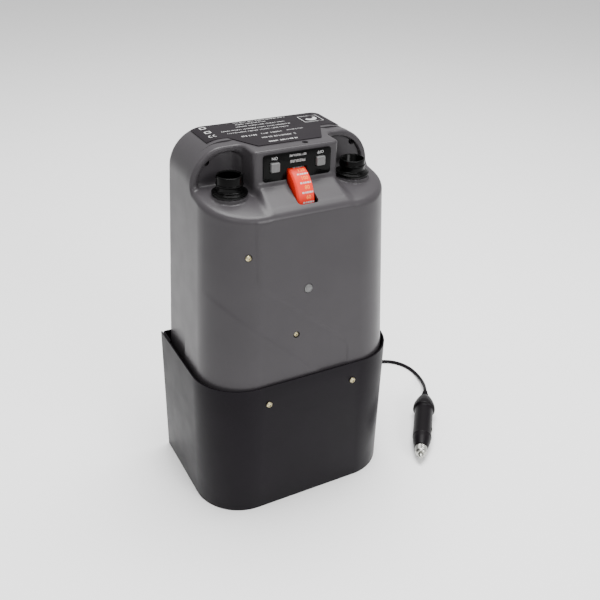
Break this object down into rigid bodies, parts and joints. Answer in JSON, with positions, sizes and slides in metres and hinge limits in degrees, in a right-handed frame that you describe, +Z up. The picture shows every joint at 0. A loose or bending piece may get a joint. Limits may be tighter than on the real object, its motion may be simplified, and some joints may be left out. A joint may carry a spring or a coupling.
{
  "type": "portable electric air pump",
  "caption": "Battery-powered air pump: grey moulded case with bayonet hose ports, pressure thumbwheel and push buttons, standing in a black sheet-metal battery sleeve, with a lead and plug.",
  "frame": {"origin": "bottom centre of the bounding box of the pump in its sleeve, without the cord and its plug", "axes": "+X to the right when looking at the front, -Y towards the front with the controls, +Z up"},
  "size_m": [0.3179, 0.2252, 0.3477],
  "materials": {
    "case_grey": "satin moulded grey",
    "powder_black": "semi-gloss powder coat",
    "gloss_black": "gloss black",
    "label_dark": "printed foil",
    "button_grey": "satin grey",
    "dial_red": "glossy red-orange",
    "rubber": "matt black",
    "brass": "yellow-passivated metal",
    "steel": "bright plated",
    "battery_case": "matt dark grey",
    "board_green": "lacquered board",
    "cast_alloy": "as cast",
    "nylon_white": "natural nylon",
    "lead_red": "red insulation"
  },
  "bodies": {
    "pump": {"front_cover": "case_grey", "rear_shell": "case_grey", "battery_sleeve": "powder_black", "rear_panel": "powder_black", "base_plate": "powder_black", "support_shelf": "powder_black", "front_screw_upper": "brass", "front_screw_lower": "brass", "corner_screw_left": "powder_black", "corner_screw_right": "powder_black", "sleeve_screw_front_left": "brass", "sleeve_screw_front_right": "brass", "sleeve_screw_rear_left": "brass", "sleeve_screw_rear_right": "brass", "screw_cap": "button_grey", "inflate_port": "gloss_black", "deflate_port": "gloss_black", "inflate_gasket": "rubber", "deflate_gasket": "rubber", "control_panel": "gloss_black", "top_label": "label_dark", "on_switch": "battery_case", "off_switch": "battery_case", "dial_axle": "steel", "dial_bracket": "nylon_white", "battery": "battery_case", "terminal_negative": "brass", "terminal_positive": "brass", "red_lead": "lead_red", "black_lead": "rubber", "circuit_board": "board_green", "relay": "battery_case", "fuse": "dial_red", "pressure_switch": "nylon_white", "motor_can": "steel", "motor_endcap": "nylon_white", "crank_axle": "steel", "gearbox_plate": "cast_alloy", "cylinder": "cast_alloy", "cylinder_head": "cast_alloy", "blower_housing": "battery_case", "blower_cover": "battery_case", "air_hose": "rubber", "cord_gland": "rubber", "cord_to_coil": "rubber", "cord_coil": "rubber", "cord_to_plug": "rubber", "plug_body": "gloss_black", "plug_spring": "steel", "plug_cap": "steel"},
    "motor_rotor": {"motor_armature": "steel", "drive_pinion": "steel", "fan_impeller": "nylon_white"},
    "crank": {"crank_gear": "nylon_white"},
    "piston": {"piston_rod": "cast_alloy"},
    "dial": {"pressure_dial": "dial_red"},
    "on_key": {"on_button": "button_grey"},
    "off_key": {"off_button": "button_grey"},
    "plug_contact": {"plug_pin": "brass"}
  },
  "joints": [
    {"name": "motor_spin", "type": "hinge", "parent": "pump", "child": "motor_rotor", "pos_m": [-0.015, 0, 0.226], "axis": [0, 1, 0], "continuous": true},
    {"name": "crank_spin", "type": "hinge", "parent": "pump", "child": "crank", "pos_m": [0.0214, 0, 0.226], "axis": [0, 1, 0], "continuous": true},
    {"name": "piston_slide", "type": "slide", "parent": "pump", "child": "piston", "axis": [0, 0, 1], "range_m": [0, 0.016]},
    {"name": "dial_turn", "type": "hinge", "parent": "pump", "child": "dial", "pos_m": [0, -0.016, 0.3015], "axis": [1, 0, 0], "range_deg": [-140, 140]},
    {"name": "on_press", "type": "slide", "parent": "pump", "child": "on_key", "axis": [0, 1, 0], "range_m": [0, 0.0015], "stiffness_N_per_m": 600, "springref_m": -0.001},
    {"name": "off_press", "type": "slide", "parent": "pump", "child": "off_key", "axis": [0, 1, 0], "range_m": [0, 0.0015], "stiffness_N_per_m": 600, "springref_m": -0.001},
    {"name": "plug_contact_slide", "type": "slide", "parent": "pump", "child": "plug_contact", "axis": [0.6149, 0.7874, 0.0436], "range_m": [0, 0.002], "stiffness_N_per_m": 1500, "springref_m": -0.001}
  ],
  "couplings": [
    {"joint": "crank_spin", "follows": "motor_spin", "ratio": -0.2}
  ]
}
